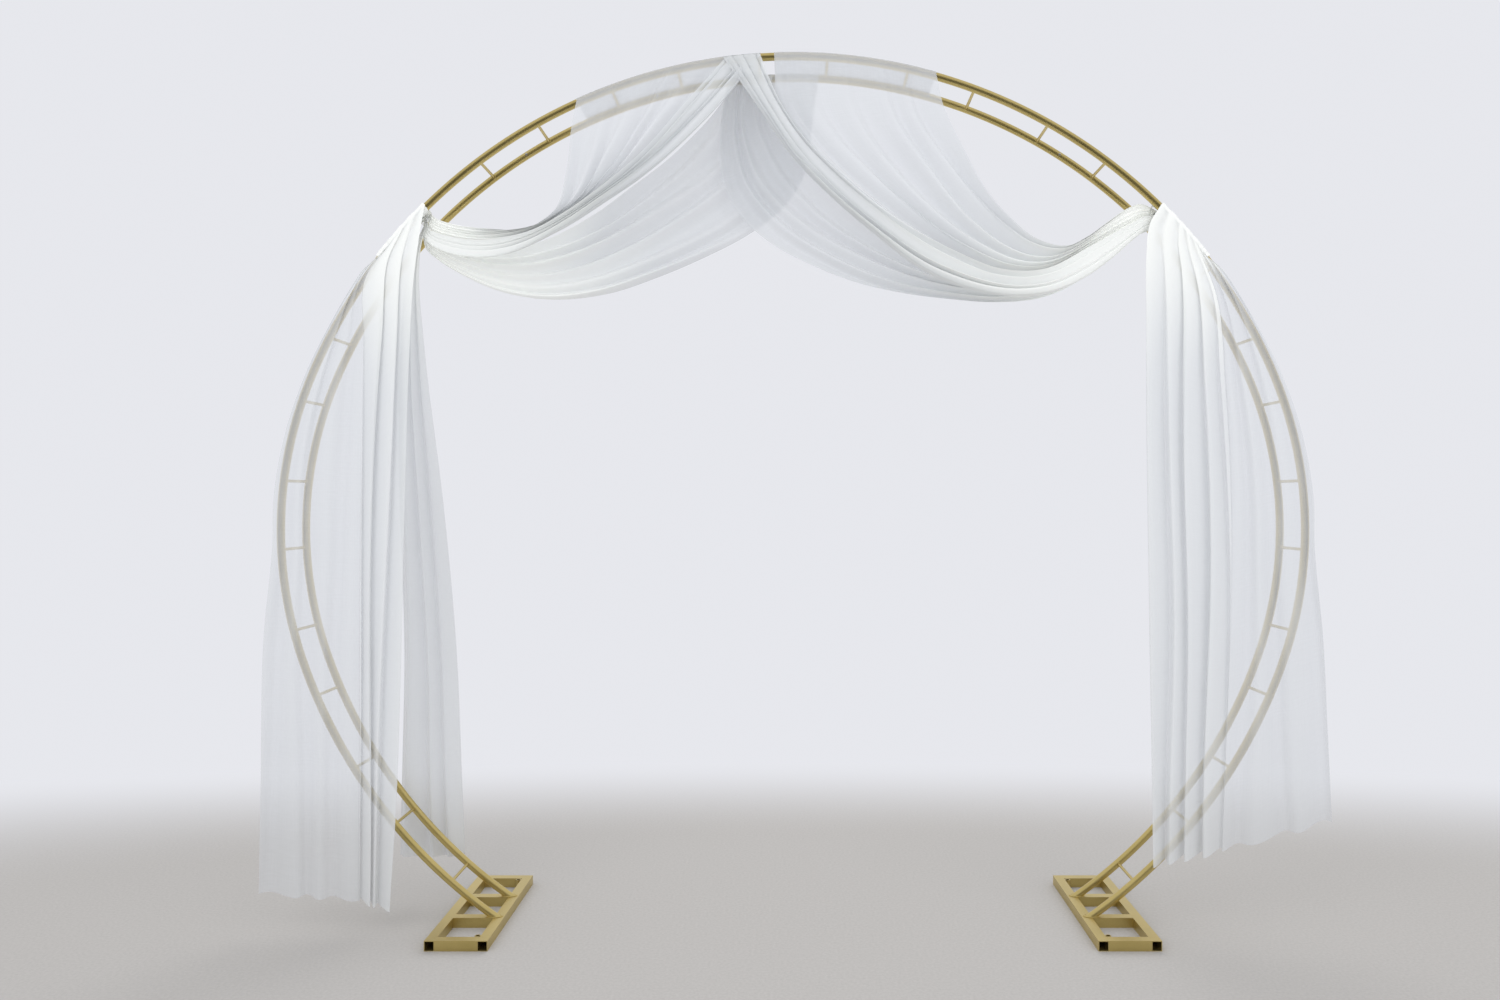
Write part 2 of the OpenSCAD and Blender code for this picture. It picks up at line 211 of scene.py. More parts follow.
def area_of(obj):
    """Area of a mesh: the sum of its faces' areas."""
    return sum(p.area for p in obj.data.polygons)


# Materials


def new_material(name):
    """Empty node material with its Principled shader, and a function that adds nodes."""
    material = bpy.data.materials.new(name)
    material.use_nodes = True
    nodes, links = material.node_tree.nodes, material.node_tree.links
    shader = nodes["Principled BSDF"]

    def add(kind, inputs=(), **settings):
        node = nodes.new(kind)
        for key, value in settings.items():
            setattr(node, key, value)
        for key, value in dict(inputs).items():
            if isinstance(value, bpy.types.NodeSocket):
                links.new(value, node.inputs[key])
            else:
                node.inputs[key].default_value = value
        return node

    return material, shader, add, links


def ramp(add, factor, stops):
    """Colour ramp node over the factor, with (place, grey or colour) stops."""
    node = add("ShaderNodeValToRGB", {"Fac": factor})
    elements = node.color_ramp.elements
    while len(elements) < len(stops):
        elements.new(0.5)
    for element, (place, colour) in zip(elements, stops):
        element.position = place
        element.color = (colour, colour, colour, 1) if isinstance(colour, float) else (*colour, 1)
    return node.outputs["Color"]


def gold_paint():
    """Satin gold paint on steel: warm and cool patches, orange peel, and a thin duller wear."""
    material, shader, add, links = new_material("gold_paint")
    place = add("ShaderNodeTexCoord").outputs["Object"]
    patches = add("ShaderNodeTexNoise", {"Vector": place, "Scale": 9.0, "Detail": 4.0, "Roughness": 0.6})
    specks = add("ShaderNodeTexNoise", {"Vector": place, "Scale": 900.0, "Detail": 2.0})
    peel = add("ShaderNodeTexNoise", {"Vector": place, "Scale": 260.0, "Detail": 3.0})
    tone = ramp(add, patches.outputs["Fac"], [(0.3, (0.56, 0.440, 0.158)), (0.7, (0.66, 0.522, 0.202))])
    grain = add(
        "ShaderNodeMix",
        {"Factor": 0.12, 6: tone, 7: ramp(add, specks.outputs["Fac"], [(0.4, (0.38, 0.30, 0.12)), (0.62, (0.64, 0.54, 0.27))])},
        data_type="RGBA",
    )
    links.new(grain.outputs[2], shader.inputs["Base Color"])
    links.new(ramp(add, patches.outputs["Fac"], [(0.25, 0.30), (0.75, 0.40)]), shader.inputs["Roughness"])
    bump = add("ShaderNodeBump", {"Height": peel.outputs["Fac"], "Strength": 0.02, "Distance": 0.0003})
    links.new(bump.outputs["Normal"], shader.inputs["Normal"])
    shader.inputs["Metallic"].default_value = 0.95
    return material


def bare_steel():
    """Zinc grey of screw heads, with a fine mottle."""
    material, shader, add, links = new_material("zinc_screw")
    place = add("ShaderNodeTexCoord").outputs["Object"]
    mottle = add("ShaderNodeTexNoise", {"Vector": place, "Scale": 700.0, "Detail": 2.0})
    links.new(ramp(add, mottle.outputs["Fac"], [(0.35, (0.42, 0.40, 0.36)), (0.65, (0.62, 0.60, 0.55))]), shader.inputs["Base Color"])
    links.new(ramp(add, mottle.outputs["Fac"], [(0.3, 0.28), (0.7, 0.40)]), shader.inputs["Roughness"])
    shader.inputs["Metallic"].default_value = 1.0
    return material


def chiffon():
    """Sheer crinkled chiffon: threads along the UV map, a density that follows the gathering, and a tone of painted
    light and shade: near white in dense gathers and on fold crests, painted grey shade in single layers and fold
    troughs.
    """
    material, shader, add, links = new_material("sheer_chiffon")
    flat = add("ShaderNodeTexCoord").outputs["UV"]
    place = add("ShaderNodeTexCoord").outputs["Object"]
    gather_and_shade = add("ShaderNodeAttribute", attribute_name="gather_and_shade").outputs["Fac"]
    long_threads = add("ShaderNodeMapping", {"Vector": flat, "Scale": (420.0, 16.0, 1.0)})
    cross_threads = add("ShaderNodeMapping", {"Vector": flat, "Scale": (22.0, 420.0, 1.0)})
    warp = add("ShaderNodeTexNoise", {"Vector": long_threads.outputs[0], "Scale": 1.0, "Detail": 2.0})
    weft = add("ShaderNodeTexNoise", {"Vector": cross_threads.outputs[0], "Scale": 1.0, "Detail": 2.0})
    threads = add("ShaderNodeMath", {0: warp.outputs["Fac"], 1: weft.outputs["Fac"]}, operation="ADD")
    clouds = add("ShaderNodeTexNoise", {"Vector": place, "Scale": 7.0, "Detail": 3.0})
    crinkle = add("ShaderNodeTexNoise", {"Vector": place, "Scale": 70.0, "Detail": 4.0, "Roughness": 0.65})

    cover = ramp(add, gather_and_shade, [(0.0, 0.56), (0.5, 0.76), (0.85, 1.0)])
    slub = add("ShaderNodeMapRange", {"Value": threads.outputs[0], "From Min": 0.6, "From Max": 1.4, "To Min": 0.95, "To Max": 1.05})
    cloud = add("ShaderNodeMapRange", {"Value": clouds.outputs["Fac"], "From Min": 0.3, "From Max": 0.7, "To Min": 0.92, "To Max": 1.08})
    uneven = add("ShaderNodeMath", {0: slub.outputs[0], 1: cloud.outputs[0]}, operation="MULTIPLY")
    gap = add("ShaderNodeMath", {0: 1.0, 1: cover}, operation="SUBTRACT")
    open_share = add("ShaderNodeMath", {0: gap.outputs[0], 1: uneven.outputs[0]}, operation="MULTIPLY")
    alpha = add("ShaderNodeMath", {0: 1.0, 1: open_share.outputs[0]}, operation="SUBTRACT", use_clamp=True)
    links.new(alpha.outputs[0], shader.inputs["Alpha"])

    # Painted light: the base colour follows the gathering value. It is near white where the value is high (dense
    # gathers, fold crests) and a painted grey shade where it is low (single sheer layers, fold troughs).
    tone = ramp(add, gather_and_shade, [(0.0, (0.67, 0.69, 0.72)), (0.45, (0.72, 0.74, 0.755)), (1.0, (0.94, 0.95, 0.92))])
    links.new(tone, shader.inputs["Base Color"])
    height = add("ShaderNodeMath", {0: crinkle.outputs["Fac"], 1: threads.outputs[0]}, operation="ADD")
    relief = add("ShaderNodeMapRange", {"Value": gather_and_shade, "From Min": 0.3, "From Max": 0.8, "To Min": 0.12, "To Max": 0.0})
    bump = add("ShaderNodeBump", {"Height": height.outputs[0], "Strength": relief.outputs[0], "Distance": 0.0008})
    links.new(bump.outputs["Normal"], shader.inputs["Normal"])
    shader.inputs["Roughness"].default_value = 0.72
    shader.inputs["Specular IOR Level"].default_value = 0.25
    shader.inputs["Sheen Weight"].default_value = 0.25
    shader.inputs["Sheen Roughness"].default_value = 0.4
    return material


def floor_material():
    """Pale floor whose tone fades into the backdrop's over an ellipse round the arch."""
    material, shader, add, links = new_material("pale_floor")
    place = add("ShaderNodeTexCoord").outputs["Object"]
    mapping = add("ShaderNodeMapping", {"Vector": place, "Scale": (1 / FLOOR_REACH[0], 1 / FLOOR_REACH[1], 1.0)})
    far = add("ShaderNodeVectorMath", {0: mapping.outputs[0]}, operation="LENGTH").outputs["Value"]
    fade = add("ShaderNodeMapRange", {"Value": far, "From Min": 0.40, "From Max": 1.0}, interpolation_type="SMOOTHSTEP")
    grain = add("ShaderNodeTexNoise", {"Vector": place, "Scale": 160.0, "Detail": 3.0})
    tone = ramp(add, grain.outputs["Fac"], [(0.3, tuple(0.94 * c for c in FLOOR_TONE)), (0.7, tuple(1.04 * c for c in FLOOR_TONE))])
    links.new(tone, shader.inputs["Base Color"])
    shader.inputs["Roughness"].default_value = 0.9
    shader.inputs["Specular IOR Level"].default_value = 0.1
    glow = add("ShaderNodeEmission", {"Color": (*BACKDROP, 1), "Strength": 1.0})
    mixed = add("ShaderNodeMixShader", {0: fade.outputs[0], 1: shader.outputs[0], 2: glow.outputs[0]})
    output = next(n for n in material.node_tree.nodes if n.type == "OUTPUT_MATERIAL")
    links.new(mixed.outputs[0], output.inputs["Surface"])
    return material


FLOOR_REACH = (4.6, 1.45)
# The floor ends before the arch at this distance, so that the tubes mirror the dark room beyond it
FLOOR_FRONT = 1.5
# Share of the backdrop's tone that metal mirrors from the dark room before the arch
ROOM_DARK = 0.12
PAINT = gold_paint()
ZINC = bare_steel()
CLOTH = chiffon()


# Stage


def make_stage():
    """Floor plane, world, three soft lamps and the camera."""
    size = 14.0
    corners = np.array([[-size, -FLOOR_FRONT, 0], [size, -FLOOR_FRONT, 0], [size, size, 0], [-size, size, 0]])
    mesh = bpy.data.meshes.new("floor")
    mesh.from_pydata(corners.tolist(), [], [(0, 1, 2, 3)])
    mesh.materials.append(floor_material())
    floor = bpy.data.objects.new("floor", mesh)
    bpy.context.scene.collection.objects.link(floor)

    world = bpy.data.worlds.new("studio")
    bpy.context.scene.world = world
    world.use_nodes = True
    tree = world.node_tree
    seen, lit = tree.nodes["Background"], tree.nodes.new("ShaderNodeBackground")
    seen.inputs["Color"].default_value = (*BACKDROP, 1)
    seen.inputs["Strength"].default_value = 1.0
    lit.inputs["Color"].default_value = (0.97, 0.98, 1.0, 1)
    lit.inputs["Strength"].default_value = 0.90
    room = tree.nodes.new("ShaderNodeBackground")
    way = tree.nodes.new("ShaderNodeSeparateXYZ")
    tree.links.new(tree.nodes.new("ShaderNodeTexCoord").outputs["Generated"], way.inputs[0])
    shade = tree.nodes.new("ShaderNodeMapRange")
    shade.interpolation_type = "SMOOTHSTEP"
    for key, value in {"From Min": -0.75, "From Max": 0.30, "To Min": ROOM_DARK, "To Max": 1.0}.items():
        shade.inputs[key].default_value = value
    rise = tree.nodes.new("ShaderNodeMath")
    rise.operation = "MULTIPLY_ADD"
    rise.inputs[1].default_value = 0.8
    steep = tree.nodes.new("ShaderNodeMath")
    steep.operation = "ABSOLUTE"
    tree.links.new(way.outputs["Z"], steep.inputs[0])
    tree.links.new(steep.outputs[0], rise.inputs[0])
    tree.links.new(way.outputs["Y"], rise.inputs[2])
    above = tree.nodes.new("ShaderNodeMath")
    above.operation = "MULTIPLY_ADD"
    above.inputs[1].default_value = 1.1
    tree.links.new(way.outputs["Z"], above.inputs[0])
    tree.links.new(rise.outputs[0], above.inputs[2])
    tree.links.new(above.outputs[0], shade.inputs["Value"])
    tree.links.new(shade.outputs[0], room.inputs["Strength"])
    room.inputs["Color"].default_value = (*BACKDROP, 1)
    path = tree.nodes.new("ShaderNodeLightPath")
    gloss, view = tree.nodes.new("ShaderNodeMixShader"), tree.nodes.new("ShaderNodeMixShader")
    tree.links.new(path.outputs["Is Glossy Ray"], gloss.inputs[0])
    tree.links.new(lit.outputs[0], gloss.inputs[1])
    tree.links.new(room.outputs[0], gloss.inputs[2])
    tree.links.new(path.outputs["Is Camera Ray"], view.inputs[0])
    tree.links.new(gloss.outputs[0], view.inputs[1])
    tree.links.new(seen.outputs[0], view.inputs[2])
    tree.links.new(view.outputs[0], tree.nodes["World Output"].inputs["Surface"])

    lamp("key_lamp", (-2.2, -3.2, 3.4), 2.8, 36)
    lamp("fill_lamp", (2.6, -2.8, 2.4), 2.8, 22)
    lamp("back_lamp", (0.6, 3.0, 3.2), 2.8, 44)

    camera = bpy.data.objects.new("camera", bpy.data.cameras.new("camera"))
    bpy.context.scene.collection.objects.link(camera)
    camera.location = EYE
    camera.rotation_euler = (math.pi / 2, 0, 0)
    camera.data.sensor_width = SENSOR
    camera.data.lens = SENSOR * FOCAL_PX / FRAME_PX
    camera.data.shift_x = (FRAME_PX / 2 - AXIS_PX) / FRAME_PX
    bpy.context.scene.camera = camera
    bpy.context.scene.view_settings.view_transform = "Standard"


def lamp(name, place, size, power):
    """Square soft lamp that looks at the middle of the arch."""
    light = bpy.data.objects.new(name, bpy.data.lights.new(name, "AREA"))
    light.data.size = size
    light.data.energy = power
    light.location = place
    light.rotation_euler = (Vector((0, 0, 1.0)) - Vector(place)).to_track_quat("-Z", "Y").to_euler()
    light.visible_glossy = False
    bpy.context.scene.collection.objects.link(light)


# Swags


# Each layer of a swag: its threads' start lengths along the hoop, its two edge threads as
# X and Z points after the start, its start and end places in Y, its pleats, and its gathering with its painted fold
# shade
LEFT_OUTER = [(-0.488, 1.786), (-0.499, 1.676), (-0.521, 1.592), (-0.554, 1.562), (-0.594, 1.546), (-0.673, 1.551), (-0.761, 1.566), (-0.806, 1.586)]
LEFT_UPPER_BAND = [(-0.242, 1.815), (-0.332, 1.709), (-0.420, 1.632), (-0.497, 1.579), (-0.579, 1.540), (-0.680, 1.524), (-0.762, 1.535), (-0.812, 1.556)]
LEFT_LOWER_BAND = [(-0.172, 1.808), (-0.260, 1.716), (-0.332, 1.656), (-0.403, 1.608), (-0.513, 1.540), (-0.645, 1.489), (-0.758, 1.497), (-0.815, 1.528)]
LEFT_BOTTOM = [(0.044, 1.82), (0.036, 1.74), (0.012, 1.675), (-0.030, 1.620), (-0.105, 1.563), (-0.205, 1.511), (-0.315, 1.463), (-0.425, 1.424), (-0.546, 1.408), (-0.660, 1.423), (-0.750, 1.460), (-0.800, 1.491), (-0.828, 1.517)]
LEFT_UNDER = [(-0.190, 1.845), (-0.285, 1.745), (-0.370, 1.675), (-0.455, 1.607), (-0.560, 1.548), (-0.675, 1.515), (-0.762, 1.522), (-0.812, 1.545)]
RIGHT_OUTER = [(0.332, 1.823), (0.374, 1.724), (0.420, 1.639), (0.473, 1.575), (0.539, 1.524), (0.607, 1.512), (0.653, 1.534), (0.705, 1.572), (0.749, 1.602), (0.778, 1.612)]
RIGHT_UPPER_BAND = [(-0.032, 1.833), (0.020, 1.749), (0.085, 1.678), (0.162, 1.610), (0.259, 1.542), (0.356, 1.491), (0.452, 1.455), (0.549, 1.456), (0.657, 1.510), (0.748, 1.562), (0.785, 1.582)]
RIGHT_LOWER_BAND = [(-0.064, 1.801), (0.0, 1.705), (0.085, 1.614), (0.175, 1.536), (0.290, 1.452), (0.387, 1.414), (0.484, 1.400), (0.581, 1.414), (0.655, 1.450), (0.712, 1.492), (0.756, 1.530), (0.788, 1.554)]
RIGHT_BOTTOM = [(-0.166, 1.83), (-0.168, 1.745), (-0.155, 1.665), (-0.118, 1.598), (-0.050, 1.535), (0.055, 1.477), (0.162, 1.436), (0.259, 1.415), (0.356, 1.403), (0.452, 1.396), (0.560, 1.406), (0.649, 1.446), (0.705, 1.488), (0.749, 1.526), (0.785, 1.550)]
RIGHT_UNDER = [(-0.035, 1.85), (0.025, 1.765), (0.100, 1.690), (0.180, 1.612), (0.290, 1.530), (0.390, 1.475), (0.48, 1.450), (0.565, 1.460), (0.662, 1.505), (0.748, 1.552), (0.785, 1.575)]


def tie_point(side, off, along=0.0):
    """X and Z beside the front hoop at the tie, off outwards and along the tube downwards."""
    x, z = hoop(TIE_S + along, off)
    return [side * float(x), float(z)]


def swag_layer(side, start, edges, ends, depths, pleat, gather_and_shade, shape=(150, 160), wrap=True, late=0.0, seed=0.0):
    """Grid of one layer of a swag.

    Column u is a thread. It wraps the tubes where start says, and then follows a curve that is
    mixed from the two edge curves by the thread's place across. That place and the depth come
    from pleats(), whose lap and depth grow from the hoop to the tie. The Y of the layer is
    mixed from its three depths at the hoop, the middle and the tie by a quadratic.
    """
    rows, cols = shape
    u = np.linspace(0, 1, cols)[None, :]
    t = np.linspace(0, 1, rows)[:, None]
    turns, lap, deep, phase = pleat
    grown = ease(late, 0.85, t)
    drift = 0.6 * ease(0.0, 0.65, t)
    wander = 0.9 * np.sin(2 * math.pi * (1.3 * u + 0.55 * drift) + seed)
    wander = wander + 0.5 * np.sin(2 * math.pi * (2.9 * u - 0.8 * drift) + 2 * seed)
    across, out = pleats(
        u,
        turns,
        (lap[0] + (lap[1] - lap[0]) * grown * (1 - 0.8 * ease(0.5, 0.80, t)))
        * (1 + 0.45 * np.sin(2 * math.pi * 1.7 * u + 3 * seed)),
        (deep[0] + (deep[1] - deep[0]) * np.sin(0.93 * math.pi * t)) * (1 - 0.65 * ease(0.5, 0.85, t)),
        phase,
        wander,
    )
    s_start = start[0] + (start[1] - start[0]) * across[0]
    x0, z0 = hoop(s_start, 0.0)
    curves = []
    for edge, s_edge, end in zip(edges, start, ends):
        hx, hz = hoop(s_edge, 0.0)
        curves.append(through([(float(hx), float(hz)), *edge, end], t[:, 0]))
    a, b = curves
    x = a[:, :1] + (b[:, :1] - a[:, :1]) * across
    z = a[:, 1:] + (b[:, 1:] - a[:, 1:]) * across
    near = 1 - ease(0.0, 0.18, t)
    x = x + near * (x0 - x[0])
    z = z + near * (z0 - z[0])
    y = depths[0] * (1 - t) * (1 - 2 * t) + 4 * depths[1] * t * (1 - t) + depths[2] * t * (2 * t - 1)
    crease = np.sin(2 * math.pi * (2.3 * u - 1.7 * t) + 1.7 * seed) * np.sin(2 * math.pi * (0.9 * u + 0.6 * t) + seed)
    crease = crease * ease(0.03, 0.3, t) * (1 - ease(0.6, 0.85, t))
    y = y - out - np.abs(deep[0]) * (1 - grown) - 0.004 * crease
    grid = np.stack([x, np.broadcast_to(y, x.shape), z], axis=-1)
    # Gathering value: it rises towards the tie, and the out and crease terms paint a highlight on fold crests and
    # creases that stand forward, with painted shade in the troughs. It sets both the density and the painted tone.
    gathering_and_shade = gather_and_shade[0] + (gather_and_shade[1] - gather_and_shade[0]) * ease(0.15, 0.95, t) + gather_and_shade[2] * (out / (deep[0] + deep[1])) * grown
    gathering_and_shade = gathering_and_shade + 0.08 * crease
    if wrap:
        over, tone = wrap_rows(s_start, grid[0], depths[0] > 0, gather_and_shade[0])
        grid = np.concatenate([over, grid])
        gathering_and_shade = np.concatenate([np.broadcast_to(tone, (len(over), cols)), np.broadcast_to(gathering_and_shade, x.shape)])
    return grid, np.clip(np.broadcast_to(gathering_and_shade, grid.shape[:2]), 0, 1)


def wrap_rows(s, first, back_only, gather_and_shade):
    """Rows that lead the cloth over the tubes to the first hanging row.

    Round a tube the cloth follows a circle of the tube's radius and its gap: off is radius * sin
    of the angle and Y is radius * cos, from under the back tube's far side to its top, straight
    over to the front tube's top and a quarter turn down its front.
    """
    r = TUBE_R + CLOTH_GAP
    turns_back = np.radians(np.linspace(-35, 90, 10))
    back = [(r * math.sin(a), HOOP_GAP / 2 + r * math.cos(a)) for a in turns_back]
    if back_only:
        turn_down = np.radians(np.linspace(110, 172, 5))
        route = back + [(r * math.sin(a), HOOP_GAP / 2 + r * math.cos(a)) for a in turn_down]
    else:
        turn_down = np.radians(np.linspace(90, 172, 7))
        level = [(r - 0.004 * math.sin(math.pi * k / 6), HOOP_GAP / 2 - HOOP_GAP * k / 6) for k in range(1, 6)]
        route = back + level + [(r * math.sin(a), -HOOP_GAP / 2 + r * math.cos(a)) for a in turn_down]
    rows = []
    for off, y in route:
        x, z = hoop(s, off)
        rows.append(np.stack([x, np.full_like(x, y), z], axis=-1))
    return np.array(rows), gather_and_shade


def left_swag():
    """Left swag: a sheet from the left of the bunch, its gathered band, and an under layer."""
    sheet = swag_layer(
        -1, (-0.495, -0.140), (LEFT_OUTER, LEFT_UPPER_BAND), (tie_point(-1, -0.006, -0.012), tie_point(-1, -0.012, 0.002)),
        (FRONT_Y - 0.001, -0.090, -0.048), (5, (0.25, 1.4), (0.002, 0.010), 0.4),
        (0.04, 0.98, 0.15), seed=0.7,
    )
    band = swag_layer(
        -1, (-0.150, -0.073), (LEFT_UPPER_BAND, LEFT_LOWER_BAND), (tie_point(-1, -0.012, 0.002), tie_point(-1, -0.018, 0.018)),
        (FRONT_Y - 0.004, -0.112, -0.056), (4, (1.4, 1.3), (0.003, 0.008), 1.9),
        (0.42, 0.85, 0.15), shape=(150, 120), seed=1.9,
    )
    under = swag_layer(
        -1, (-0.130, 0.060), (LEFT_UNDER, LEFT_BOTTOM), (tie_point(-1, -0.014, 0.008), tie_point(-1, -0.028, 0.040)),
        (HOOP_GAP / 2 - TUBE_R - 0.001, 0.022, -0.040), (5, (0.1, 1.3), (0.002, 0.010), 3.1),
        (0.04, 0.98, 0.15), late=0.25, seed=2.6,
    )
    return [sheet, band, under]


def right_swag():
    """Right swag: a sheet from the bare stretch to the right, its gathered band, and an under layer."""
    sheet = swag_layer(
        1, (0.322, -0.042), (RIGHT_OUTER, RIGHT_UPPER_BAND), (tie_point(1, -0.006, -0.012), tie_point(1, -0.012, 0.000)),
        (FRONT_Y - 0.001, -0.090, -0.048), (5, (0.3, 1.4), (0.002, 0.011), 2.2),
        (0.04, 0.98, 0.15), seed=4.2,
    )
    band = swag_layer(
        1, (-0.073, -0.150), (RIGHT_UPPER_BAND, RIGHT_LOWER_BAND), (tie_point(1, -0.012, 0.000), tie_point(1, -0.022, 0.020)),
        (FRONT_Y - 0.010, -0.118, -0.057), (4, (1.4, 1.4), (0.003, 0.008), 0.2),
        (0.50, 0.90, 0.15), shape=(150, 120), seed=5.5,
    )
    under = swag_layer(
        1, (-0.050, -0.150), (RIGHT_UNDER, RIGHT_BOTTOM), (tie_point(1, -0.014, 0.004), tie_point(1, -0.024, 0.024)),
        (HOOP_GAP / 2 - TUBE_R - 0.008, -0.022, -0.040), (5, (0.1, 1.3), (0.002, 0.010), 1.2),
        (0.04, 0.98, 0.15), late=0.25, seed=6.4,
    )
    return [sheet, band, under]


# Curtains


def curtain(side, edges, spread, y_low, strip, pleat, gather_and_shade, hem_wave, shape=(150, 220), seed=0.0):
    """Grid of a curtain that is led over the front tube from the tie and falls before it.

    Column u is a thread. Over the tube it follows lead_over(). Below, the share `strip` of the
    cloth lies between the inner and the middle edge curve, and the rest between the middle and
    the outer one. In each part the place across is the running sum of the pace 1 - lap cos(a)
    and the depth follows sin(a), where a = 2 pi turns u + phase + wander, as in pleats().
    """
    rows, cols = shape
    t = np.linspace(0, 1, rows)[:, None]
    opened = ease(0.0, 0.35, t)
    split = int(cols * strip)
    parts = []
    for k, (u, turns) in enumerate(((np.linspace(0, 1, split), pleat[0][0]), (np.linspace(0, 1, cols - split + 1), pleat[0][1]))):
        u = u[None, :]
        wander = 0.8 * np.sin(2 * math.pi * (0.8 * u + 0.5 * t) + seed + k) + 0.4 * np.sin(2 * math.pi * (1.7 * u - 0.9 * t) + 2 * seed)
        angle = 2 * math.pi * turns * u + pleat[3] + 2 * math.pi * pleat[0][0] * k + wander
        uneven = 1 + 0.35 * np.sin(2 * math.pi * 1.6 * u + 3 * seed + k)
        lap = pleat[1][k] * uneven * (1 if k == 0 else 1 + (pleat[1][2] - 1) * opened)
        lap = lap * (0.35 + 0.65 * ease(0.0, 0.12, t))
        across = np.cumsum(1 - lap * np.cos(angle), axis=1)
        across = (across - across[:, :1]) / (across[:, -1:] - across[:, :1])
        starts = spread[k], spread[k + 1]
        low, high = (
            through([tuple(float(c) for c in hoop(side * s_edge)), *edge], t[:, 0])
            for s_edge, edge in zip(starts, (edges[k], edges[k + 1]))
        )
        s_start = starts[0] + (starts[1] - starts[0]) * across[0]
        x0, z0 = hoop(side * s_start)
        near = 1 - ease(0.0, 0.12, t)
        x = low[:, :1] + (high[:, :1] - low[:, :1]) * across
        z = low[:, 1:] + (high[:, 1:] - low[:, 1:]) * across
        x, z = x + near * (x0 - x[0]), z + near * (z0 - z[0])
        z = z - hem_wave * np.sin(angle) * ease(0.9, 1.0, t)
        out = pleat[2][k] * (0.15 + 0.85 * opened) * (1 + np.sin(angle))
        # Gathering value: denser near the tie, and 0.10 sin(angle) paints a highlight on the fold crests and shade in
        # the troughs.
        tone = gather_and_shade[k] + (gather_and_shade[2] - gather_and_shade[k]) * (1 - ease(0.0, (0.30, 0.09)[k], t)) + 0.10 * np.sin(angle)
        parts.append(np.broadcast_arrays(x, z, out, tone, s_start, angle))
    x, z, out, tone, s_start, angle = (np.concatenate([a, b[:, 1:]], axis=1) for a, b in zip(*parts))
    blend = ease(strip - 0.08, strip + 0.08, np.linspace(0, 1, x.shape[1]))[None, :]
    out = out * (1 - 0.5 * blend * (1 - blend) * 4)
    top = FRONT_Y - CLOTH_GAP
    y = top + (y_low - top) * ease(0.0, 0.6, t) - out
    over = lead_over(side, s_start[0], spread, angle[0], 0.0007)
    tone = np.concatenate([np.full((len(over), x.shape[1]), 0.95), tone])
    return np.concatenate([over, np.stack([x, y, z], axis=-1)]), np.clip(tone, 0, 1)


def lead_over(side, s_start, spread, angle, ridge):
    """Rows that lead a curtain over the front tube.

    Their angle runs from -55 degrees, on the inner side behind the tube, past 90 degrees on its
    outer side, to 175 degrees at its front. The distance from the tube's centre is its radius,
    the gap and a ridge that follows the folds, and the threads spread from the tie as they rise.
    """
    turns = np.radians(np.linspace(-55, 172, 22))[:, None]
    open_share = 0.12 + 0.88 * ease(math.radians(0), math.radians(120), turns)
    start = spread[0] + 0.004 + 0.20 * (s_start - spread[0])
    s = start + (s_start - start) * open_share
    away = TUBE_R + 2 * CLOTH_GAP + ridge * (1 + np.sin(angle)) * open_share
    away = away + 0.007 * (1 - ease(math.radians(-55), math.radians(20), turns))
    x, z = hoop(side * s, away * np.sin(turns))
    y = -HOOP_GAP / 2 + away * np.cos(turns)
    return np.stack([x, np.broadcast_to(y, x.shape), z], axis=-1)


def hoop_edge(side):
    """Points on the hoop's outer side, where the outer edge of a curtain follows it."""
    return [tuple(float(c) for c in hoop(side * s, TUBE_R + off)) for s, off in HUG]


CURTAIN_SPREAD = (0.905, 1.020, 1.060)
HUG = ((1.10, 0.002), (1.16, 0.001), (1.22, -0.001), (1.36, -0.004), (1.50, -0.006), (1.64, -0.006), (1.76, -0.006))
LEFT_FRONT_INNER = [(-0.822, 1.580), (-0.830, 1.53), (-0.842, 1.42), (-0.846, 1.30), (-0.850, 1.05), (-0.857, 0.65), (-0.868, 0.30), (-0.884, 0.050)]
LEFT_STRIP_EDGE = [(-0.950, 1.44), (-0.951, 1.30), (-0.950, 1.00), (-0.951, 0.65), (-0.952, 0.30), (-0.953, 0.070)]
LEFT_LOW_OUTER = [(-1.162, 0.640), (-1.168, 0.330), (-1.174, 0.085)]
LEFT_BACK_INNER = [(-0.838, 1.50), (-0.833, 1.29), (-0.815, 1.00), (-0.800, 0.62), (-0.788, 0.29), (-0.780, 0.105)]
LEFT_BACK_OUTER = [(-0.858, 1.50), (-0.890, 1.29), (-0.915, 0.95), (-0.925, 0.55), (-0.932, 0.25), (-0.935, 0.105)]
RIGHT_INNER = [(0.792, 1.563), (0.783, 1.49), (0.780, 1.35), (0.777, 1.10), (0.778, 0.75), (0.783, 0.40), (0.787, 0.150)]
RIGHT_STRIP_EDGE = [(0.940, 1.40), (0.955, 1.20), (0.962, 1.00), (0.960, 0.70), (0.950, 0.40), (0.942, 0.180)]
RIGHT_LOW_OUTER = [(1.163, 0.640), (1.174, 0.420), (1.182, 0.245)]


def left_curtain():
    """Front curtain on the left: a dense fold beside the inner edge and a sheer part over the hoops."""
    outer = hoop_edge(-1) + LEFT_LOW_OUTER
    return [curtain(
        -1, (LEFT_FRONT_INNER, LEFT_STRIP_EDGE, outer), CURTAIN_SPREAD, FRONT_Y - 0.020, 0.5,
        ((3, 3), (1.9, 1.1, 0.30), (0.008, 0.006), 0.6), (0.40, 0.05, 0.85), 0.003, seed=0.3,
    )]


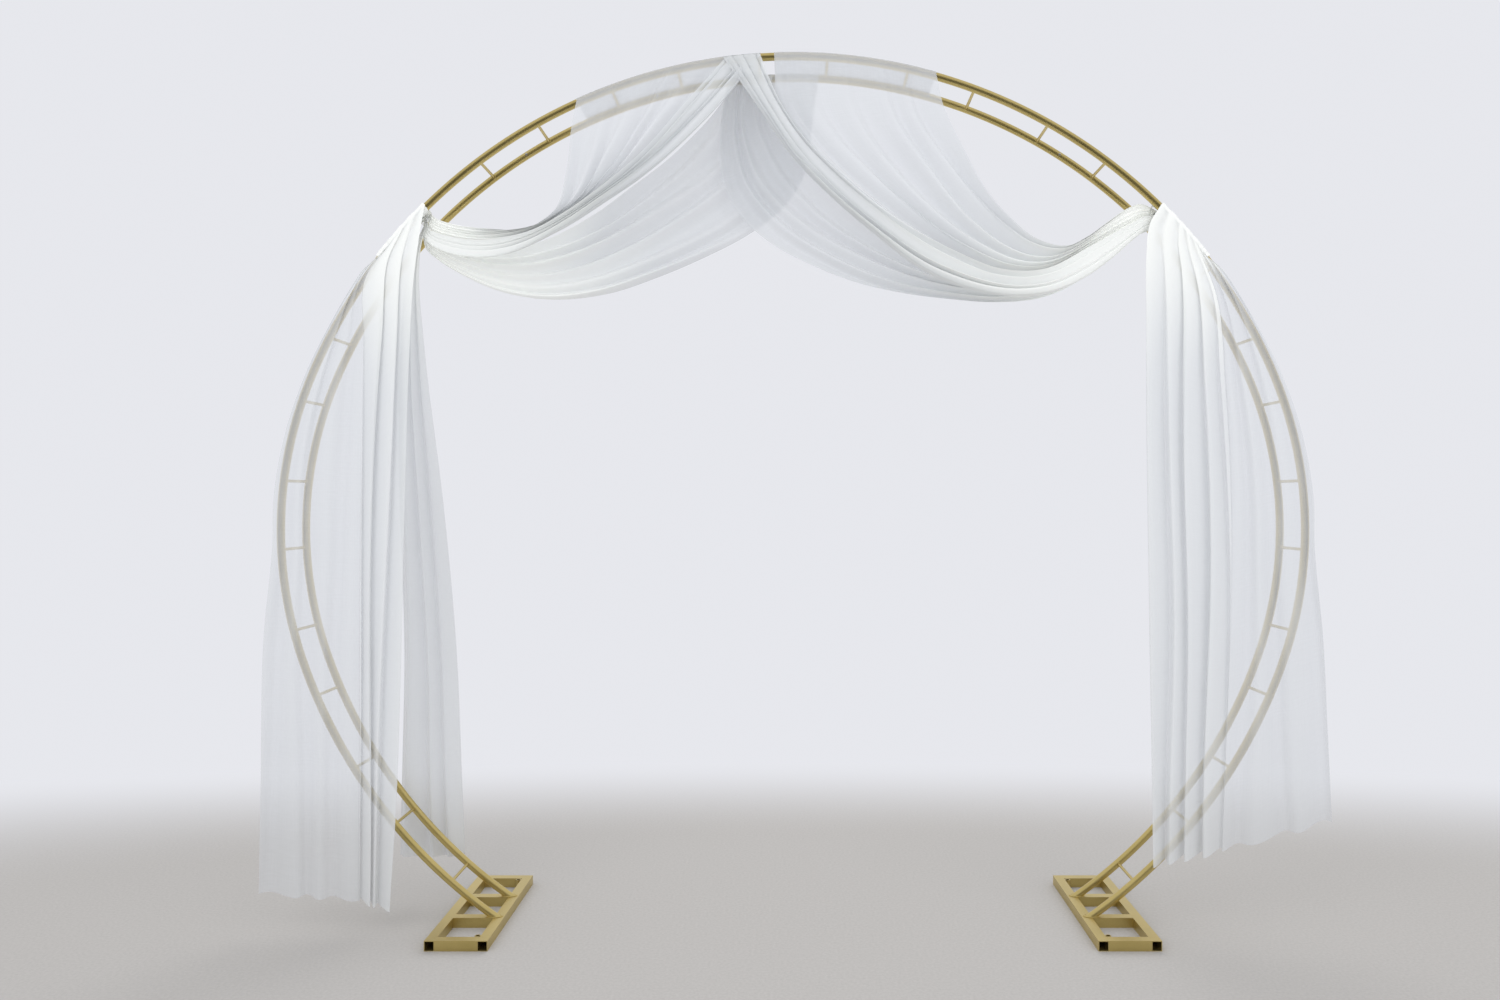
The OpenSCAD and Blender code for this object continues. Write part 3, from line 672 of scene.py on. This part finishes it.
def left_back():
    """Narrow fall of sheer cloth that starts between the hoops and ends behind the back one."""
    rows, cols = 120, 110
    t = np.linspace(0, 1, rows)[:, None]
    u = np.linspace(0, 1, cols)[None, :]
    top = [float(c) for c in hoop(-0.922, -0.012)]
    a, b = through([top, *LEFT_BACK_INNER], t[:, 0]), through([top, *LEFT_BACK_OUTER], t[:, 0])
    opened = ease(0.0, 0.4, t)
    across, out = pleats(
        u, 3, 1.4 - 0.9 * opened, 0.002 + 0.006 * opened, 2.2, 0.8 * np.sin(2 * math.pi * (1.2 * u + 0.4 * t) + 1.4)
    )
    x = a[:, :1] + (b[:, :1] - a[:, :1]) * across
    z = a[:, 1:] + (b[:, 1:] - a[:, 1:]) * across
    y = -0.046 + (BACK_Y + 0.022 + 0.046) * ease(0.05, 0.75, t) + out
    # Denser near the top, and 0.10 sin(2 pi 3 u) paints stripes of shade and highlight at the spacing of the three
    # pleats.
    tone = 0.26 + 0.50 * (1 - ease(0.0, 0.3, t)) + 0.10 * np.sin(2 * math.pi * 3 * u)
    return [(np.stack([x, y, z], axis=-1), np.clip(tone, 0, 1))]


def right_curtain():
    """Front curtain on the right: a dense group of folds at the inner edge and a sheer part over the hoops."""
    outer = hoop_edge(1) + RIGHT_LOW_OUTER
    return [curtain(
        1, (RIGHT_INNER, RIGHT_STRIP_EDGE, outer), CURTAIN_SPREAD, FRONT_Y - 0.022, 0.55,
        ((4, 3), (1.6, 1.2, 0.35), (0.010, 0.007), 1.3), (0.38, 0.07, 0.85), 0.004, seed=2.9,
    )]


# Knots


def knot(side):
    """Scrunched band round the front tube, and the ruffled loops that its ends make inside it.

    On the band the radius swells by sin of 5 times the angle a and its edges fall back.
    A loop is a ribbon round an oval, that swells by sin(3 a) and widens to one side.
    """
    a = np.linspace(0, 2 * math.pi, 120)[None, :]
    v = np.linspace(-1, 1, 12)[:, None]
    radius = TUBE_R + 0.0016 - 0.0009 * v**4 + 0.0006 * np.sin(5 * a + 3 * v)
    s = TIE_S + 0.011 * v + 0.0015 * np.sin(3 * a)
    x, z = hoop(side * s, radius * np.sin(a))
    grids = [(np.stack([x, -HOOP_GAP / 2 + radius * np.cos(a), z], axis=-1), np.full(radius.shape, 0.95))]
    places = ((-0.012, 0.000, 0.0), (-0.016, 0.018, 1.2), (-0.010, -0.016, 2.3)) if side > 0 else ((-0.013, 0.010, 0.6),)
    for off, along, lean in places:
        cx, cz = hoop(side * (TIE_S + along), off)
        swell = 1 + 0.20 * np.sin(3 * a + lean)
        wide, tall = 0.0075 * swell, 0.0105 * swell
        depth = 0.006 * v + 0.0025 * np.sin(3 * a + 2 * lean)
        px = wide * np.cos(a) * math.cos(lean) - tall * np.sin(a) * math.sin(lean) + 0.002 * v
        pz = wide * np.cos(a) * math.sin(lean) + tall * np.sin(a) * math.cos(lean)
        ribbon = np.broadcast_arrays(cx + side * px, -0.049 + depth, cz + pz)
        grids.append((np.stack(ribbon, axis=-1), np.full(depth.shape, 0.9)))
    return grids


# Small steel pieces


def ring(centre, axis, radius, bead, sides=20, round_=8):
    """Ring round an axis: a circle of radius `bead` carried round a circle of radius `radius`."""
    axis = np.array(axis, float) / np.linalg.norm(axis)
    other = np.cross(axis, [0.3, 0.9, 0.2])
    other /= np.linalg.norm(other)
    third = np.cross(axis, other)
    a = np.linspace(0, 2 * math.pi, sides, endpoint=False)[:, None]
    b = np.linspace(0, 2 * math.pi, round_, endpoint=False)[None, :]
    away = (np.cos(a)[..., None] * other + np.sin(a)[..., None] * third)
    points = np.array(centre) + away * (radius + bead * np.cos(b))[..., None] + axis * (bead * np.sin(b))[..., None]
    index = np.arange(sides * round_).reshape(sides, round_)
    nxt, up = np.roll(index, -1, axis=0), np.roll(index, -1, axis=1)
    quads = np.stack([index, nxt, np.roll(nxt, -1, axis=1), up], axis=-1)
    return points.reshape(-1, 3), quads.reshape(-1, 4)


def joined(parts):
    """One set of points and faces from several."""
    start = np.cumsum([0] + [len(p) for p, _ in parts[:-1]])
    return np.concatenate([p for p, _ in parts]), np.concatenate([f + s for (_, f), s in zip(parts, start)])


def rung_places():
    """Arc lengths of all rungs of one side."""
    places = []
    for i in range(LADDERS):
        places += [i * LADDER_LEN + RUNG_INSET, (i + 1) * LADDER_LEN - RUNG_INSET]
    return places + [LEG_START + RUNG_INSET, LEG_START + RUNG_INSET + LEG_RUNG_PITCH]


def rung_welds():
    """Weld beads where the rungs meet both tubes."""
    parts = []
    for side in SIDES.values():
        for s in rung_places():
            x, z = hoop(s)
            for face in (-1, 1):
                y = face * (HOOP_GAP / 2 - TUBE_R + 0.0006)
                parts.append(ring((side * float(x), y, float(z)), (0, 1, 0), RUNG_R + 0.0006, 0.0012))
    return mesh_object("rung_welds", *joined(parts), PAINT)


def leg_welds():
    """Weld beads where the four tubes land on the bases.

    A tube meets the flat top at a slant, so its bead is a ring stretched along X by 1 / sin of
    the slant.
    """
    parts = []
    x, z = (float(c) for c in hoop(HOOP_LEN))
    slant = (float(hoop(HOOP_LEN - 0.001)[1]) - z) / 0.001
    for side in SIDES.values():
        for y in (-HOOP_GAP / 2, HOOP_GAP / 2):
            points, quads = ring((side * x, y, z + 0.0004), (0, 0, 1), TUBE_R + 0.0008, 0.0016, sides=32)
            points[:, 0] = side * x + (points[:, 0] - side * x) / slant
            parts.append((points, quads))
    return mesh_object("leg_welds", *joined(parts), PAINT)


def joint_rings():
    """Fine lip round each tube where one section ends on the next."""
    parts = []
    for side in SIDES.values():
        for i in range(0 if side > 0 else 1, LADDERS + 1):
            s = i * LADDER_LEN
            x, z = hoop(s)
            nx, nz = hoop(s + 0.001)
            axis = (side * float(nx - x), 0, float(nz - z))
            for y in (-HOOP_GAP / 2, HOOP_GAP / 2):
                parts.append(ring((side * float(x), y, float(z)), axis, TUBE_R, 0.0005, sides=28, round_=6))
    return mesh_object("joint_rings", *joined(parts), PAINT)


def screws():
    """Pan head screws through both tubes of each joint, on the sides that face each other.

    A head is a turned profile: radius and height over the tube, in five rings. Strip k across
    an end ring of n points joins the points k, k + 1, n - 2 - k and n - 1 - k, and closes it.
    """
    profile = [(0.0012, 0.0014), (0.0022, 0.0012), (0.0027, 0.0008), (0.0030, 0.0002), (0.0031, -0.0012)]
    sides = 20
    parts = []
    a = np.linspace(0, 2 * math.pi, sides, endpoint=False)
    strip = np.arange(sides // 2 - 1)
    for side in SIDES.values():
        for i in range(0 if side > 0 else 1, LADDERS + 1):
            s = i * LADDER_LEN - PLUG_LEN / 2
            x, z = hoop(side * s)
            for face in (-1, 1):
                y = face * (HOOP_GAP / 2 - TUBE_R)
                rings = [
                    np.stack([x + r * np.cos(a), np.full(sides, y - face * h), z + r * np.sin(a)], axis=-1)
                    for r, h in profile
                ]
                points = np.concatenate(rings)
                index = np.arange(len(points)).reshape(len(profile), sides)
                nxt = np.roll(index, -1, axis=1)
                quads = np.stack([index[:-1], nxt[:-1], nxt[1:], index[1:]], axis=-1).reshape(-1, 4)
                top = np.stack([strip, sides - 1 - strip, sides - 2 - strip, strip + 1], axis=-1)
                foot = top[:, ::-1] + index[-1, 0]
                quads = np.concatenate([quads, top, foot])
                parts.append((points, quads if face < 0 else quads[:, ::-1]))
    return mesh_object("joint_screws", *joined(parts), ZINC)


def steel_finish():
    """Gold paint on every steel node."""
    for name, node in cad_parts.items():
        node.data.materials.clear()
        node.data.materials.append(CLOTH if name.split("_")[-1] in ("swag", "curtain", "tie") else PAINT)


def drape():
    """All cloth pieces, each built as one mesh that takes the place of its node in the part, which is hidden."""
    pieces = {}
    for name, grids, nodes in (
        ("left_swag_cloth", left_swag(), ["left_swag"]),
        ("right_swag_cloth", right_swag(), ["right_swag"]),
        ("left_curtain_cloth", left_curtain(), ["left_curtain"]),
        ("right_curtain_cloth", right_curtain(), ["right_curtain"]),
        ("left_back_cloth", left_back(), ["left_back_curtain"]),
        ("left_knot_cloth", knot(-1), ["left_tie"]),
        ("right_knot_cloth", knot(1), ["right_tie"]),
    ):
        piece = sheet_mesh(name, grids, CLOTH)
        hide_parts(*nodes)
        pieces[name] = piece
    return pieces


make_stage()
steel_finish()
rung_welds()
leg_welds()
joint_rings()
screws()
drape()
